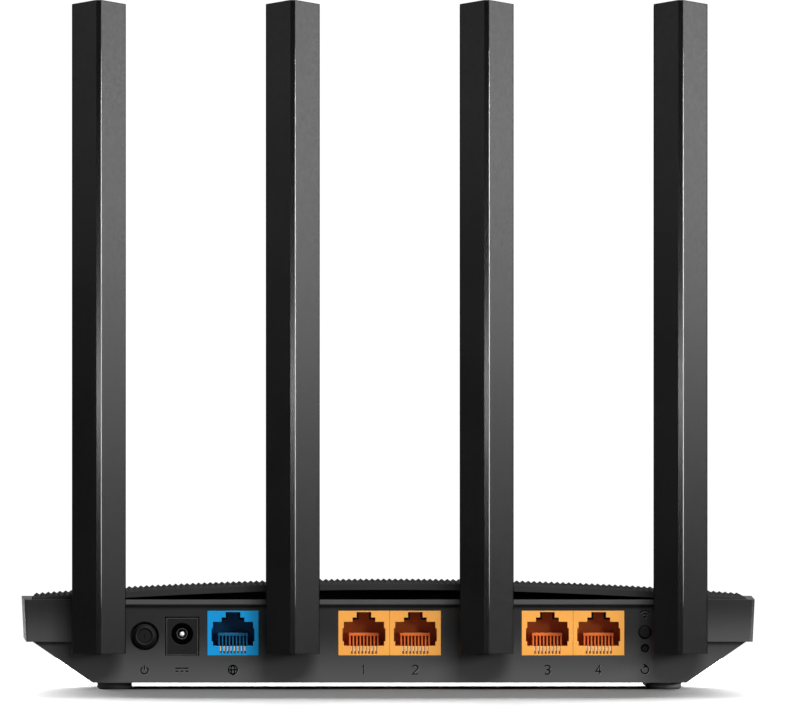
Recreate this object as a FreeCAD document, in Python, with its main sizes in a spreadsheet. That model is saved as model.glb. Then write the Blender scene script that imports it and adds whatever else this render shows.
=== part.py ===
"""Wireless router with four tilting and swivelling antennas, as a parametric document of separate pieces.

Frame: +Z up, z = 0 under the rubber feet, the connector side faces -Y, x = 0 on the middle of the case.
The origin lies under the middle of the bounding box. Lengths are in millimetres.
"""
import FreeCAD, Part
import math
import os

import Sketcher

V = FreeCAD.Vector

# Driving dimensions, one sheet cell each.
SIZES = {
    # Case
    "panel_rear": -50.65,       # rear face of the connector panel
    "frame_step": 1.2,          # how far the upper frame stands out behind the panel
    "case_depth": 117.0,
    "frame_half_top": 107.1,
    "front_flare": 1.2,         # extra half width of the frame at the front
    "frame_half_bottom": 106.5,
    "frame_top": 26.3,
    "frame_bottom": 13.9,
    "frame_wall": 2.2,
    "deck_top": 24.2,
    "deck_bottom": 22.2,
    "window_half": 92.0,
    "lip_bottom": 24.6,
    "baffle_half": 80.0,        # a low wall across the deck, just under the cover
    "tub_half_top": 104.6,
    "tub_half_bottom": 87.0,
    "tub_bottom": 1.85,
    "tub_lip": 16.0,
    "tub_front_top": 62.6,
    "tub_front_bottom": 46.9,
    "wall": 2.0,
    "clearance": 0.3,
    "fit": 0.1,
    # Top cover
    "cover_crest": 31.5,
    "cover_radius": 1286.0,
    "cover_half": 104.65,
    "cover_plate": 1.8,
    "tooth_pitch": 1.72,
    "tooth_rise": 0.6,
    # Circuit board
    "board_top": 9.9,
    "board_thick": 1.6,
    "board_half": 90.0,
    "board_front": 40.0,
    # Network sockets
    "socket_width": 15.0,
    "socket_height": 13.1,
    "socket_deep": 16.0,
    "socket_pitch": 15.07,
    "bay_width": 11.8,
    "bay_low": 12.7,
    "bay_high": 19.74,
    "bay_deep": 11.5,
    "bay_relief": 12.6,
    "step_width": 6.7,
    "step_high": 21.0,
    "notch_width": 4.3,
    "notch_high": 22.6,
    "comb_low": 10.3,
    "comb_pitch": 1.02,
    "comb_slot": 0.5,
    "wan_x": -45.9,
    "lan_left_x": 0.02,
    "lan_right_x": 53.8,
    # Power socket
    "power_x": -60.8,
    "power_width": 9.4,
    "power_height": 11.0,
    "power_axis": 16.2,
    "power_bore": 3.22,
    "power_bore_deep": 10.0,
    "power_pin": 1.05,
    "power_pin_end": 8.8,
    "power_collar": 1.7,
    "power_deep": 13.0,
    # Buttons
    "switch_x": -71.8,
    "switch_z": 15.6,
    "switch_hole": 4.2,
    "switch_cap": 3.45,
    "pair_x": 74.9,
    "wps_z": 16.7,
    "wps_radius": 1.75,
    "reset_z": 12.0,
    "reset_radius": 0.95,
    # Antennas
    "inner_x": 28.4,
    "outer_x": 85.2,
    "hinge_z": 16.5,
    "hinge_out": 8.2,
    "blade_half": 7.9,
    "blade_bottom": 10.5,
    "blade_edge_top": 200.8,
    "blade_ridge_top": 202.0,
    "blade_front": 5.0,
    "blade_side": 10.0,
    "blade_ridge": 14.5,
    "ridge_left": -0.75,
    "ridge_right": 0.65,
    "tongue_half": 2.4,
    "tongue_radius": 3.2,
    "slot_half": 2.7,
    "slot_reach": 3.5,
    "pin_radius": 1.25,
    "flange_radius": 6.3,
    "flange_thick": 1.6,
    "stub_radius": 4.0,
    "running": 0.05,
    # Feet and fixings
    "foot_x": 80.6,
    "foot_rear_y": -41.5,
    "foot_front_y": 36.0,
    "foot_radius": 5.1,
    "foot_recess": 0.5,
    "screw_x": 66.0,
    "screw_rear_y": -26.0,
    "screw_front_y": 38.0,
    "screw_seat": 3.5,          # how far above the underside the screws' heads bear
    "screw_head": 2.5,
    "screw_radius": 1.2,
    "boss_radius": 3.4,
    "post_x": 81.0,
    "post_rear_y": -20.0,
    "post_front_y": 30.0,
    "post_radius": 2.6,
    "board_screw": 0.95,
    "keyhole_x": 60.0,
    "keyhole_y": 8.0,
    "keyhole_entry": 4.0,
    "keyhole_neck": 2.1,
}

doc = FreeCAD.newDocument("Router")


class Size:
    """A length that knows both its value and the sheet expression that gives it."""

    def __init__(self, value, text):
        self.value = value
        self.text = text

    @staticmethod
    def of(item):
        return item if isinstance(item, Size) else Size(float(item), repr(float(item)))

    def __add__(self, other):
        other = Size.of(other)
        return Size(self.value + other.value, f"({self.text} + {other.text})")

    def __sub__(self, other):
        other = Size.of(other)
        return Size(self.value - other.value, f"({self.text} - {other.text})")

    def __mul__(self, factor):
        factor = Size.of(factor)
        return Size(self.value * factor.value, f"({self.text} * {factor.text})")

    def __truediv__(self, other):
        other = Size.of(other)
        return Size(self.value / other.value, f"({self.text} / {other.text})")

    def __neg__(self):
        return Size(-self.value, f"(-1 * {self.text})")

    __radd__ = __add__
    __rmul__ = __mul__


class Dimensions:
    """The sheet, with each alias as an attribute."""

    def __init__(self, sizes):
        sheet = doc.addObject("Spreadsheet::Sheet", "Dims")
        for row, (alias, value) in enumerate(sizes.items(), start=1):
            sheet.set(f"A{row}", alias)
            sheet.set(f"B{row}", str(value))
            sheet.setAlias(f"B{row}", alias)
            setattr(self, alias, Size(value, f"Dims.{alias}"))
        doc.recompute()


d = Dimensions(SIZES)
frame_rear = d.panel_rear - d.frame_step
frame_front = frame_rear + d.case_depth
board_bottom = d.board_top - d.board_thick
floor_top = d.tub_bottom + d.wall

# Each origin plane: its role, and whether its normal runs along the positive axis.
PLANES = {"XY": ("XY_Plane", True), "XZ": ("XZ_Plane", False), "YZ": ("YZ_Plane", True)}
NODES = []


# ---------------------------------------------------------------- helpers

def bind(item, **sizes):
    """Bind properties to the sheet; a double underscore in a name stands for a dot."""
    for name, size in sizes.items():
        item.setExpression(name.replace("__", "."), Size.of(size).text)


def place(item, x=0, y=0, z=0):
    bind(item, Placement__Base__x=x, Placement__Base__y=y, Placement__Base__z=z)


def node(item, label):
    """Register an object as one of the sub-parts that are written out."""
    item.Label = label
    NODES.append(item)
    return item


def rectangle(left, low, right, high):
    return [(left, low), (right, low), (right, high), (left, high)]


def discs(centres, radius):
    """One circle for a sketch at each centre."""
    return [(x, y, radius) for x, y in centres]


def flared(half, rear, front):
    """An outline that is wider at the front than at the rear by the flare."""
    wide = half + d.front_flare
    return [(-half, rear), (half, rear), (wide, front), (-wide, front)]


def draw(body, plane, level, loops):
    """Sketch closed loops on an origin plane at a level; a loop is corners, or a circle (x, y, radius)."""
    role, along = PLANES[plane]
    sketch = body.newObject("Sketcher::SketchObject", body.Name + "Sketch")
    origin_plane = [item for item in body.Origin.OriginFeatures if item.Role == role][0]
    sketch.AttachmentSupport = [(origin_plane, "")]
    sketch.MapMode = "FlatFace"
    level = Size.of(level)
    bind(sketch, AttachmentOffset__Base__z=level if along else -level)

    def pin(geometry, point, first, second):
        for kind, size in (("DistanceX", first), ("DistanceY", second)):
            index = sketch.addConstraint(Sketcher.Constraint(kind, -1, 1, geometry, point, size.value))
            sketch.setExpression(f"Constraints[{index}]", size.text)

    for loop in loops:
        start = sketch.GeometryCount
        if isinstance(loop, tuple):
            first, second, radius = (Size.of(item) for item in loop)
            centre = V(first.value, second.value, 0)
            sketch.addGeometry(Part.Circle(centre, V(0, 0, 1), radius.value), False)
            pin(start, 3, first, second)
            index = sketch.addConstraint(Sketcher.Constraint("Radius", start, radius.value))
            sketch.setExpression(f"Constraints[{index}]", radius.text)
            continue
        corners = [(Size.of(first), Size.of(second)) for first, second in loop]
        count = len(corners)
        for index, (first, second) in enumerate(corners):
            onward = corners[(index + 1) % count]
            line = Part.LineSegment(V(first.value, second.value, 0), V(onward[0].value, onward[1].value, 0))
            sketch.addGeometry(line, False)
        for index in range(count):
            following = start + (index + 1) % count
            sketch.addConstraint(Sketcher.Constraint("Coincident", start + index, 2, following, 1))
        for index, (first, second) in enumerate(corners):
            pin(start + index, 1, first, second)
    doc.recompute()
    return sketch


def new_body(name):
    return doc.addObject("PartDesign::Body", name)


def pad(body, plane, level, length, loops):
    """Add a prism that runs from a level along the plane's positive axis."""
    sketch = draw(body, plane, level, loops)
    feature = body.newObject("PartDesign::Pad", body.Name + "Pad")
    feature.Profile = sketch
    feature.Reversed = not PLANES[plane][1]
    bind(feature, Length=length)
    doc.recompute()
    return feature


def pocket(body, plane, level, length, loops):
    """Cut a prism that runs from a level along the plane's positive axis."""
    before = body.Shape.Volume
    sketch = draw(body, plane, level, loops)
    feature = body.newObject("PartDesign::Pocket", body.Name + "Pocket")
    feature.Profile = sketch
    feature.Reversed = PLANES[plane][1]
    bind(feature, Length=length)
    doc.recompute()
    if body.Shape.Volume >= before - 0.001:
        raise RuntimeError(f"{body.Name}: a pocket removed nothing")
    return feature


def loft(body, kind, low, high, low_loop, high_loop):
    """Add or cut a solid between two level outlines."""
    sections = [draw(body, "XY", low, [low_loop]), draw(body, "XY", high, [high_loop])]
    feature = body.newObject("PartDesign::" + kind, body.Name + kind)
    feature.Profile = sections[0]
    feature.Sections = [sections[1]]
    feature.Ruled = True
    doc.recompute()
    return feature


def turn(body, plane, axis, loop):
    """Revolve one outline about its sketch's own axis."""
    sketch = draw(body, plane, 0, [loop])
    feature = body.newObject("PartDesign::Revolution", body.Name + "Revolution")
    feature.Profile = sketch
    feature.ReferenceAxis = (sketch, [axis])
    feature.Angle = 360
    doc.recompute()
    return feature


def repeat(body, feature, sketch_axis, spacing, count):
    """Repeat a feature along one of its sketch's axes."""
    pattern = body.newObject("PartDesign::LinearPattern", body.Name + "Pattern")
    pattern.Originals = [feature]
    pattern.Direction = (feature.Profile[0], [sketch_axis])
    pattern.Occurrences = count
    bind(pattern, Length=Size.of(spacing) * (count - 1))
    body.Tip = pattern
    doc.recompute()
    return pattern


def round_edges(body, radius, wanted):
    """Fillet the edges of the tip for which wanted(edge) holds."""
    base = body.Tip
    edges = base.Shape.Edges
    names = [f"Edge{index}" for index, edge in enumerate(edges, start=1) if wanted(edge)]
    if not names:
        raise RuntimeError(f"{body.Name}: no edge to round")
    feature = body.newObject("PartDesign::Fillet", body.Name + "Fillet")
    feature.Base = (base, names)
    bind(feature, Radius=radius)
    doc.recompute()
    return feature


def box(x, y, z, length, width, height):
    """A Part box from its lowest corner."""
    item = doc.addObject("Part::Box", "Box")
    bind(item, Length=length, Width=width, Height=height)
    place(item, x, y, z)
    return item


def cylinder(x, y, z, radius, length, axis="Z"):
    """A Part cylinder from the centre of its first end, along an axis."""
    item = doc.addObject("Part::Cylinder", "Cylinder")
    turns = {"X": FreeCAD.Rotation(V(0, 1, 0), 90), "Y": FreeCAD.Rotation(V(1, 0, 0), -90)}
    item.Placement.Rotation = turns.get(axis, FreeCAD.Rotation())
    bind(item, Radius=radius, Height=length)
    place(item, x, y, z)
    return item


def cut(base, tools):
    """The base less its tools."""
    tool = tools[0] if len(tools) == 1 else together(tools)
    item = doc.addObject("Part::Cut", "Cut")
    item.Base = base
    item.Tool = tool
    return item


def together(items):
    """Several solids as one object; those that lie apart stay separate solids."""
    item = doc.addObject("Part::MultiFuse", "Fuse")
    item.Shapes = items
    return item


# ---------------------------------------------------------------- case

# Every network socket: the name of its node and the middle of its width.
SOCKETS = {
    "wan_socket": d.wan_x,
    "lan_socket_1": d.lan_left_x - d.socket_pitch / 2,
    "lan_socket_2": d.lan_left_x + d.socket_pitch / 2,
    "lan_socket_3": d.lan_right_x - d.socket_pitch / 2,
    "lan_socket_4": d.lan_right_x + d.socket_pitch / 2,
}
ANTENNA_X = [-d.outer_x, -d.inner_x, d.inner_x, d.outer_x]
FEET = [(d.foot_x * side, y) for side in (-1, 1) for y in (d.foot_rear_y, d.foot_front_y)]
SCREWS = [(d.screw_x * side, y) for side in (-1, 1) for y in (d.screw_rear_y, d.screw_front_y)]
BOARD_POSTS = [(d.post_x * side, y) for side in (-1, 1) for y in (d.post_rear_y, d.post_front_y)]


def panel_openings():
    """Outlines cut through the connector panel, seen from behind."""
    loops = []
    low = d.board_top - d.fit
    high = d.board_top + d.socket_height + d.fit
    half = d.socket_width / 2 + d.fit
    loops.append(rectangle(d.wan_x - half, low, d.wan_x + half, high))
    for middle in (d.lan_left_x, d.lan_right_x):
        reach = d.socket_pitch / 2 + half
        loops.append(rectangle(middle - reach, low, middle + reach, high))
    power_half = d.power_width / 2 + d.clearance
    power_high = d.board_top + d.power_height + d.clearance
    loops.append(rectangle(d.power_x - power_half, low, d.power_x + power_half, power_high))
    loops.append((d.switch_x, d.switch_z, d.switch_hole))
    loops.append((d.pair_x, d.wps_z, d.wps_radius + 0.2))
    loops.append((d.pair_x, d.reset_z, d.reset_radius + 0.3))
    loops += [(x, d.hinge_z, d.stub_radius + d.running) for x in ANTENNA_X]
    return loops


def make_lower_case():
    """The tub: sloping sides and front, an upright connector panel, bosses, vents and keyholes."""
    body = new_body("LowerCase")
    low = rectangle(-d.tub_half_bottom, d.panel_rear, d.tub_half_bottom, d.tub_front_bottom)
    high = rectangle(-d.tub_half_top, d.panel_rear, d.tub_half_top, d.tub_front_top)
    loft(body, "AdditiveLoft", d.tub_bottom, d.frame_bottom, low, high)
    pad(body, "XY", d.frame_bottom, d.tub_lip - d.frame_bottom, [high])
    inset = d.wall + 0.4
    inner_low = rectangle(-d.tub_half_bottom - 0.5, d.panel_rear + d.wall,
                          d.tub_half_bottom + 0.5, d.tub_front_bottom)
    inner_high = rectangle(-d.tub_half_top + inset, d.panel_rear + d.wall,
                           d.tub_half_top - inset, d.tub_front_top - inset)
    loft(body, "SubtractiveLoft", floor_top, d.frame_bottom, inner_low, inner_high)
    pocket(body, "XY", d.frame_bottom - 0.01, d.wall + 1, [inner_high])
    # The outer ends of the rim behind the frame's wings give way to the wings.
    panel_half = d.window_half - d.clearance
    wing_front = frame_rear + d.frame_wall + d.fit
    ends = [rectangle(-d.frame_half_top, d.panel_rear - 1, -panel_half, wing_front),
            rectangle(panel_half, d.panel_rear - 1, d.frame_half_top, wing_front)]
    pocket(body, "XY", d.frame_bottom, d.wall + 1, ends)
    panel_top = d.lip_bottom - 0.2
    pad(body, "XZ", d.panel_rear, d.wall, [rectangle(-panel_half, d.frame_bottom - 1, panel_half, panel_top)])
    pocket(body, "XZ", d.panel_rear - 1, d.wall + 1.5, panel_openings())
    pad(body, "XY", d.tub_bottom, d.frame_bottom - d.tub_bottom, discs(SCREWS, d.boss_radius))
    pad(body, "XY", floor_top - 0.5, board_bottom - floor_top + 0.5, discs(BOARD_POSTS, d.post_radius))
    pocket(body, "XY", d.tub_bottom - 1, d.screw_seat + 1, discs(SCREWS, d.screw_head + d.clearance))
    pocket(body, "XY", d.tub_bottom, d.frame_bottom, discs(SCREWS, d.screw_radius + 0.4))
    pocket(body, "XY", board_bottom - 3, 4, discs(BOARD_POSTS, d.board_screw + d.running))
    recesses = discs(FEET, d.foot_radius + d.fit)
    pocket(body, "XY", d.tub_bottom - 1, 1 + d.foot_recess, recesses)
    entries = [(d.keyhole_x * side, d.keyhole_y, d.keyhole_entry) for side in (-1, 1)]
    pocket(body, "XY", d.tub_bottom - 1, d.wall + 2, entries)
    necks = [rectangle(d.keyhole_x * side - d.keyhole_neck, d.keyhole_y - 9,
                       d.keyhole_x * side + d.keyhole_neck, d.keyhole_y) for side in (-1, 1)]
    pocket(body, "XY", d.tub_bottom - 1, d.wall + 2, necks)
    slot = pocket(body, "XY", d.tub_bottom - 1, d.wall + 2, [rectangle(-40, -22, -37.5, 24)])
    repeat(body, slot, "H_Axis", 6.2, 13)
    return node(body, "lower_case")


def make_upper_frame():
    """The rim round the top, with its two wings beside the panel, a vented deck and the window's lip."""
    body = new_body("UpperFrame")
    low = flared(d.frame_half_bottom, frame_rear, frame_front - 0.6)
    high = flared(d.frame_half_top, frame_rear, frame_front)
    loft(body, "AdditiveLoft", d.frame_bottom, d.frame_top, low, high)
    half = d.frame_half_top - d.frame_wall + 0.1
    inner = rectangle(-half, frame_rear + d.frame_wall, half, frame_front - d.frame_wall)
    under = rectangle(-d.tub_half_top - d.clearance, frame_rear + d.frame_wall,
                      d.tub_half_top + d.clearance, frame_front - d.frame_wall)
    pocket(body, "XY", d.frame_bottom - 1, d.deck_bottom - d.frame_bottom + 1, [under])
    pocket(body, "XY", d.deck_top, 5, [inner])
    # The window for the connector panel, closed above by the lip.
    rear_edge = d.panel_rear + d.wall + d.clearance
    window = rectangle(-d.window_half, frame_rear - 1, d.window_half, rear_edge)
    pocket(body, "XY", d.frame_bottom - 1, d.lip_bottom - d.frame_bottom + 1, [window])
    web_top = d.lip_bottom + 0.7
    web = [(frame_rear + 1, d.lip_bottom), (rear_edge, d.lip_bottom), (rear_edge, d.deck_bottom),
           (rear_edge + 1.6, d.deck_bottom), (rear_edge + 1.6, web_top), (frame_rear + 1, web_top)]
    pad(body, "YZ", -d.window_half, d.window_half * 2, [web])
    socket_top = d.board_top + d.socket_height + d.clearance
    above_sockets = rectangle(-70, rear_edge - 0.1, 70, d.panel_rear + d.socket_deep + 1)
    pocket(body, "XY", d.deck_bottom - 1, socket_top - d.deck_bottom + 1, [above_sockets])
    pad(body, "XY", d.frame_bottom, d.deck_top - d.frame_bottom, discs(SCREWS, d.boss_radius))
    pocket(body, "XY", d.frame_bottom - 1, 8, discs(SCREWS, d.screw_radius + d.running))
    slot = pocket(body, "XY", d.deck_bottom - 1, 4, [rectangle(-57, -34, -54, 30)])
    repeat(body, slot, "H_Axis", 9.25, 13)
    # A low wall across the middle of the deck, its top following the cover's arch.
    under_cover = d.cover_crest - d.tooth_rise - d.cover_plate - d.clearance
    steps = [d.baffle_half * (index / 5 - 1) for index in range(11)]
    crown = [(x, under_cover - x * x / (d.cover_radius * 2)) for x in reversed(steps)]
    base = d.deck_bottom + 0.5
    pad(body, "XZ", -0.6, 1.2, [[(-d.baffle_half, base), (d.baffle_half, base)] + crown])
    lamp = pocket(body, "XZ", frame_front - 6, 8, [rectangle(-31.5, 18.5, -28.5, 19.7)])
    repeat(body, lamp, "H_Axis", 10, 7)

    def is_corner(edge):
        middle = edge.CenterOfMass
        return abs(middle.x) > 106 and abs(middle.y) > 51 and edge.BoundBox.ZLength > 10

    round_edges(body, 0.9, is_corner)
    return node(body, "upper_frame")


def make_top_cover():
    """The arched cover: ridges along Y on a circular arc, a plain edge band, and posts down to the deck."""
    radius = SIZES["cover_radius"]
    crest = SIZES["cover_crest"]
    half = SIZES["cover_half"]
    pitch = SIZES["tooth_pitch"]
    rear = frame_rear.value + SIZES["frame_wall"] + 0.35
    front = frame_front.value - SIZES["frame_wall"] - 0.35

    def arc_height(x, drop):
        return crest - drop - (radius - math.sqrt(radius * radius - x * x))

    count = int(half / pitch)
    root = SIZES["tooth_rise"]
    bottom = root + SIZES["cover_plate"]
    top = [V(-half, rear, arc_height(half, root))]
    for index in range(-2 * count, 2 * count + 1):
        x = index * pitch / 2
        top.append(V(x, rear, arc_height(x, 0 if index % 2 else root)))
    top.append(V(half, rear, arc_height(half, root)))
    ends = [V(half, rear, arc_height(half, bottom)), V(-half, rear, arc_height(half, bottom))]
    middle = V(0, rear, arc_height(0, bottom))
    edges = [Part.LineSegment(a, b).toShape() for a, b in zip(top, top[1:])]
    edges.append(Part.LineSegment(top[-1], ends[0]).toShape())
    edges.append(Part.Arc(ends[0], middle, ends[1]).toShape())
    edges.append(Part.LineSegment(ends[1], top[0]).toShape())
    plate = Part.Face(Part.Wire(edges)).extrude(V(0, front - rear, 0))
    places = [(x, y) for x in (-98, -61, 61, 98) for y in (-40, 6, 50)] + [(0, -40), (0, 50)]
    posts = []
    for x, y in places:
        height = arc_height(x, bottom) + 0.6 - SIZES["deck_top"]
        posts.append(Part.makeCylinder(1.8, height, V(x, y, SIZES["deck_top"])))
    feature = doc.addObject("Part::Feature", "TopCover")
    feature.Shape = plate.fuse(posts)
    return node(feature, "top_cover")


def make_feet():
    """Four rubber feet with rounded rims, set into shallow recesses."""
    height = d.tub_bottom + d.foot_recess
    feet = []
    for x, y in FEET:
        disc = cylinder(x, y, 0, d.foot_radius, height)
        doc.recompute()
        rims = [index for index, edge in enumerate(disc.Shape.Edges, start=1) if edge.BoundBox.ZMax < 0.01]
        foot = doc.addObject("Part::Fillet", "Foot")
        foot.Base = disc
        foot.Edges = [(rim, 0.9, 0.9) for rim in rims]
        feet.append(foot)
    return node(together(feet), "rubber_feet")


def make_case_screws():
    """Four screws that pull the frame down onto the tub."""
    solids = []
    seat = d.tub_bottom + d.screw_seat
    for x, y in SCREWS:
        solids.append(cylinder(x, y, seat - 2.0, d.screw_head, 2.0))
        solids.append(cylinder(x, y, seat, d.screw_radius, 13.0))
    return node(together(solids), "case_screws")


# ---------------------------------------------------------------- circuit board

def make_board():
    """The main board, with clear holes round the case bosses."""
    body = new_body("Board")
    edge = d.panel_rear + d.wall + d.clearance
    outline = rectangle(-d.board_half, edge, d.board_half, d.board_front)
    pad(body, "XY", board_bottom, d.board_thick, [outline])
    pocket(body, "XY", board_bottom - 1, 4, discs(SCREWS, d.boss_radius + 0.5))
    pocket(body, "XY", board_bottom - 1, 4, discs(BOARD_POSTS, d.board_screw + 0.25))
    return node(body, "main_board")


def make_board_screws():
    """Four screws that hold the board to its posts."""
    solids = []
    for x, y in BOARD_POSTS:
        solids.append(cylinder(x, y, d.board_top, 2.2, 1.4))
        solids.append(cylinder(x, y, board_bottom - 2, d.board_screw, d.board_thick + 2))
    return node(together(solids), "board_screws")


def make_socket(label, middle):
    """One network socket: a stepped bay with its latch notch at the top and a comb for eight contacts."""
    body = new_body(label.title().replace("_", ""))
    face = -0.1
    half = d.socket_width / 2
    top = d.board_top + d.socket_height
    pad(body, "XZ", face, d.socket_deep, [rectangle(-half, d.board_top, half, top)])
    bay = [(-d.bay_width / 2, d.bay_low), (d.bay_width / 2, d.bay_low), (d.bay_width / 2, d.bay_high),
           (d.step_width / 2, d.bay_high), (d.step_width / 2, d.step_high),
           (d.notch_width / 2, d.step_high), (d.notch_width / 2, d.notch_high),
           (-d.notch_width / 2, d.notch_high), (-d.notch_width / 2, d.step_high),
           (-d.step_width / 2, d.step_high), (-d.step_width / 2, d.bay_high),
           (-d.bay_width / 2, d.bay_high)]
    pocket(body, "XZ", face - 1, d.bay_deep + 1, [bay])
    relief = rectangle(-d.bay_relief / 2, d.bay_low + 1.3, d.bay_relief / 2, d.bay_high - 1.9)
    pocket(body, "XZ", face - 1, d.bay_deep, [relief])
    first = -d.comb_pitch * 3.5
    slot = pocket(body, "XZ", face - 1, 9, [rectangle(first - d.comb_slot / 2, d.comb_low,
                                                      first + d.comb_slot / 2, d.bay_low + 0.5)])
    repeat(body, slot, "H_Axis", d.comb_pitch, 8)
    place(body, middle, d.panel_rear, 0)
    return node(body, label)


def make_contacts(label, middle):
    """Eight sloping contact springs in the comb of a socket."""
    body = new_body(label.title().replace("_", ""))
    first = -d.comb_pitch * 3.5
    profile = [(1.2, d.comb_low), (1.6, d.comb_low), (9.4, 14.3), (9.4, 14.7), (9.2, 14.7), (1.2, 10.75)]
    body.AllowCompound = True
    spring = pad(body, "YZ", first - 0.17, 0.34, [profile])
    pattern = body.newObject("PartDesign::LinearPattern", body.Name + "Pattern")
    pattern.Originals = [spring]
    origin_axis = [item for item in body.Origin.OriginFeatures if item.Role == "X_Axis"][0]
    pattern.Direction = (origin_axis, [""])
    pattern.Occurrences = 8
    bind(pattern, Length=d.comb_pitch * 7)
    body.Tip = pattern
    doc.recompute()
    place(body, middle, d.panel_rear, 0)
    return node(body, label)


def make_power_socket():
    """The round power socket: a block with a deep bore, a collar at its floor and a centre pin."""
    body = new_body("PowerSocket")
    half = d.power_width / 2
    pad(body, "XZ", -0.1, d.power_deep, [rectangle(-half, d.board_top, half, d.board_top + d.power_height)])
    pocket(body, "XZ", -1, d.power_bore_deep + 1, [(0, d.power_axis, d.power_bore)])
    pad(body, "XZ", d.power_pin_end, d.power_bore_deep - d.power_pin_end + 0.5,
        [(0, d.power_axis, d.power_collar)])
    place(body, d.power_x, d.panel_rear, 0)
    node(body, "power_socket")
    pin = new_body("PowerPin")
    outline = [(1.0, 0), (d.power_pin_end, 0), (d.power_pin_end, d.power_pin), (1.3, d.power_pin),
               (1.0, 0.75)]
    turn(pin, "YZ", "H_Axis", outline)
    place(pin, d.power_x, d.panel_rear, d.power_axis)
    return node(pin, "power_socket_pin")


def make_button(label, x, z, outline):
    """A round button, turned about its own axis of travel."""
    body = new_body(label.title().replace("_", ""))
    turn(body, "YZ", "H_Axis", outline)
    place(body, x, d.panel_rear, z)
    return node(body, label)


def make_buttons():
    """The latching power button, the pairing button and the recessed reset button."""
    cap = d.switch_cap
    make_button("power_button", d.switch_x, d.switch_z,
                [(-1.3, 0), (-1.3, cap - 1.2), (-1.6, cap - 1.1), (-1.6, cap - 0.8), (-0.8, cap), (2.4, cap),
                 (2.4, cap + 1), (3.2, cap + 1), (3.2, 1.9), (9.0, 1.9), (9.0, 0)])
    wps = d.wps_radius
    make_button("pairing_button", d.pair_x, d.wps_z,
                [(-0.7, 0), (-0.7, wps - 0.3), (-0.4, wps), (2.4, wps), (2.4, 2.6), (3.0, 2.6), (3.0, 1.0),
                 (11.6, 1.0), (11.6, 0)])
    make_button("reset_button", d.pair_x, d.reset_z,
                [(0.8, 0), (0.8, d.reset_radius), (2.4, d.reset_radius), (2.4, 1.7), (3.0, 1.7),
                 (3.0, d.reset_radius), (6.4, d.reset_radius), (6.4, 0)])


def make_switches():
    """The switch bodies behind the three buttons, each on the board."""
    left = d.switch_x - 4
    block = box(left, d.panel_rear + 7.5, d.board_top, 8, 8, 9.5)
    well = cylinder(d.switch_x, d.panel_rear + 7, d.switch_z, 2.3, 6, "Y")
    node(cut(block, [well]), "power_switch")
    tall = box(d.pair_x - 3, d.panel_rear + 12.8, d.board_top, 6, 3.6, 9.8)
    node(tall, "pairing_switch")
    short = box(d.pair_x - 3, d.panel_rear + 7.6, d.board_top, 6, 3.6, 4.2)
    node(short, "reset_switch")


def make_heat_sink():
    """The main chip's heat sink: a plate with upright fins."""
    body = new_body("HeatSink")
    base = d.board_top + 2.9
    pad(body, "XY", base, 8.0, [rectangle(-16, -16, 16, 16)])
    groove = pocket(body, "XY", base + 2, 7, [rectangle(-14.6, -17, -12.2, 17)])
    repeat(body, groove, "H_Axis", 3.85, 8)
    place(body, 4, 4, 0)
    node(body, "heat_sink")
    node(box(-7, -7, d.board_top + 1.9, 22, 22, 1.0), "thermal_pad")
    chips = [box(-8, -8, d.board_top, 24, 24, 1.9), box(-34, -6, d.board_top, 10, 13, 1.2),
             box(28, -4, d.board_top, 8, 10, 1.2), box(-14, 22, d.board_top, 9, 9, 1.4)]
    return node(together(chips), "chips")


def make_shield(label, x, y, length, width):
    """A pressed shield can over one radio, open underneath."""
    outer = box(x, y, d.board_top, length, width, 4.0)
    inner = box(Size.of(x) + 0.4, Size.of(y) + 0.4, d.board_top - 1, length - 0.8, width - 0.8, 4.6)
    return node(cut(outer, [inner]), label)


def make_small_components():
    """Transformers behind the sockets, capacitors, coils, lamps and their light guide."""
    parts = [box(x, -30.5, d.board_top, 15, 9, 6.5) for x in (-53.4, -7.5, 46.3)]
    node(together(parts), "line_transformers")
    parts = [cylinder(x, y, d.board_top, radius, height)
             for x, y, radius, height in ((-60, -20, 3.2, 9), (-51, -14, 3.2, 9), (-62, -9, 2.5, 8))]
    node(together(parts), "capacitors")
    parts = [box(x, y, d.board_top, 6, 6, 3.4) for x, y in ((-48, -4), (-62, 0), (-48, 8))]
    node(together(parts), "coils")
    front = d.board_front - 3
    parts = [box(-31.4 + 10 * index, front, d.board_top, 2.8, 1.6, 0.9) for index in range(7)]
    node(together(parts), "status_lamps")
    guide = new_body("LightGuide")
    window = frame_front - 0.2
    outline = [(front - 0.5, 11.2), (front + 2.1, 11.2), (front + 2.1, 18.55), (window, 18.55),
               (window, 19.65), (front - 0.5, 19.65)]
    pad(guide, "YZ", -31.4, 62.8, [rectangle(front - 0.5, 17.2, front + 2.1, 19.65)])
    finger = pad(guide, "YZ", -31.4, 2.8, [outline])
    pattern = guide.newObject("PartDesign::LinearPattern", "LightGuidePattern")
    pattern.Originals = [finger]
    origin_axis = [item for item in guide.Origin.OriginFeatures if item.Role == "X_Axis"][0]
    pattern.Direction = (origin_axis, [""])
    pattern.Occurrences = 7
    pattern.Length = 60
    guide.Tip = pattern
    doc.recompute()
    return node(guide, "light_guide")


# ---------------------------------------------------------------- antennas

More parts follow.
